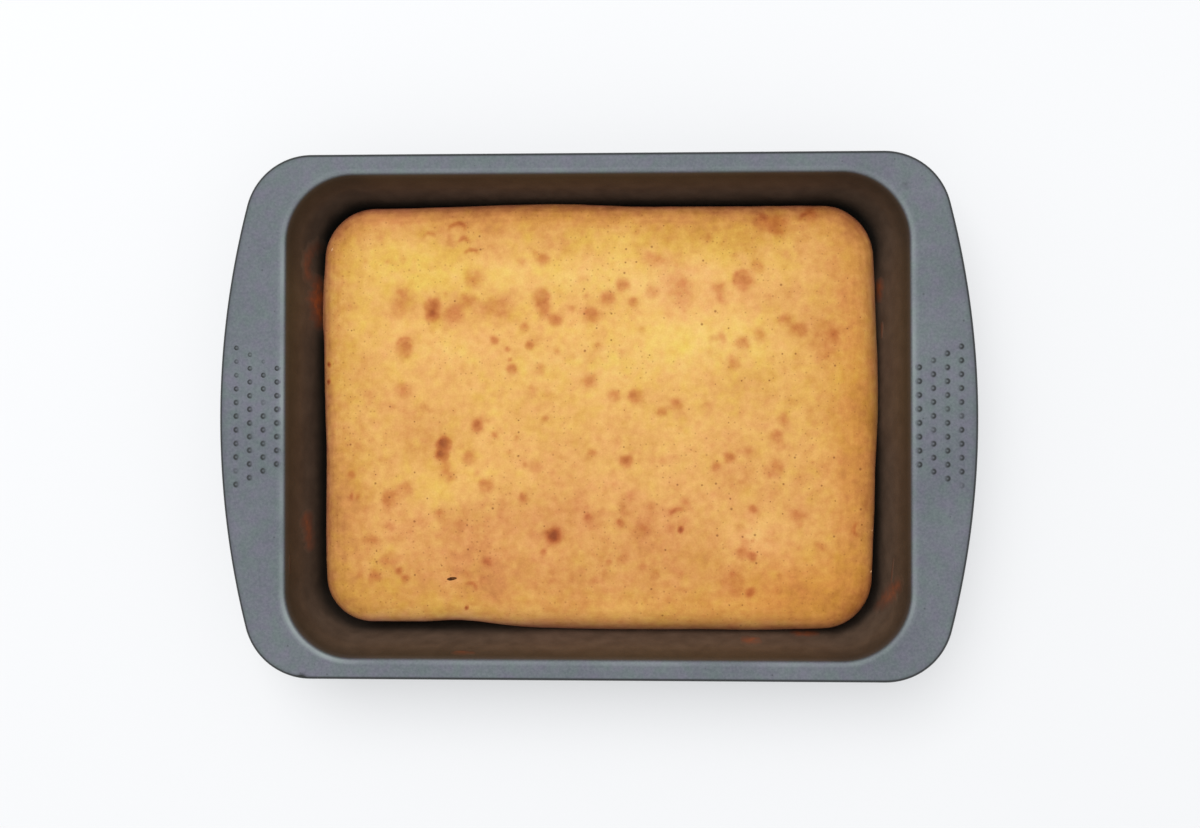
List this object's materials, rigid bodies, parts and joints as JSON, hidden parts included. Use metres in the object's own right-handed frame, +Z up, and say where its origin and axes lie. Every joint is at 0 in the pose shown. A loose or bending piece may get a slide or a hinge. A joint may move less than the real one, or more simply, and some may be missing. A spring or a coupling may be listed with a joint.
{
  "type": "sponge cake in baking tin",
  "caption": "Flat golden sponge cake, whole and uncut, in the rectangular pressed-sheet tin it was baked in, with a wide rim and dotted grips at both ends.",
  "frame": {"origin": "middle of the tin's underside, on the surface that it stands on", "axes": "+Z up, +X along the tin from handle to handle, +Y across it"},
  "size_m": [0.375, 0.261, 0.0556],
  "materials": {
    "coating": "satin blue-grey non-stick coating, darkened by baked-on grease inside",
    "crust": "matt golden sponge crust with browned spots"
  },
  "bodies": {
    "root": {"tin": "coating", "cake": "crust"}
  },
  "joints": []
}
